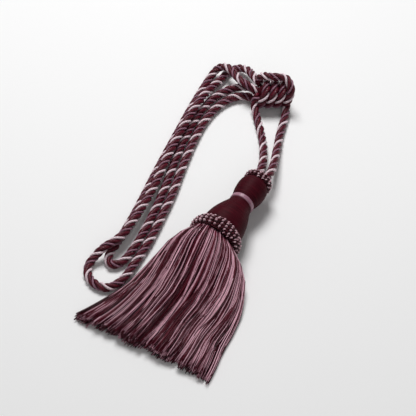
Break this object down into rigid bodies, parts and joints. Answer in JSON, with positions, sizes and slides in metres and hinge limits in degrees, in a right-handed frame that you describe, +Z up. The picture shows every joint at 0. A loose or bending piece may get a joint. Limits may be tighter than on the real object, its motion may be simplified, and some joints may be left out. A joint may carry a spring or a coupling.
{
  "type": "curtain tieback tassel",
  "caption": "Curtain tieback tassel lying flat: thread-covered turned head, looped ruffs, cut two-colour skirt and twisted rope loops bound by a wound knot.",
  "frame": {"origin": "on the flat underside of the skirt, below the axis of the head, in the plane of the surface that the tassel lies on", "axes": "+Y along the head's axis from the skirt to the crown, +Z up from the surface, +X to the side away from the rope loops"},
  "size_m": [0.189, 0.3477, 0.0455],
  "materials": {
    "head_thread": "wound thread with a soft sheen",
    "satin": "wound satin thread",
    "gimp": "looped two-colour gimp",
    "fringe": "cut viscose fringe, burgundy and dusty pink",
    "rope": "twisted yarn rope, burgundy with pale plies"
  },
  "bodies": {
    "root": {"head": "head_thread", "neck_band": "satin", "crown_ruff": "gimp", "base_ruff": "gimp", "skirt": "fringe", "knot": "rope", "leg_left": "rope", "leg_right": "rope", "loop_outer": "rope", "loop_inner": "rope"}
  },
  "joints": []
}
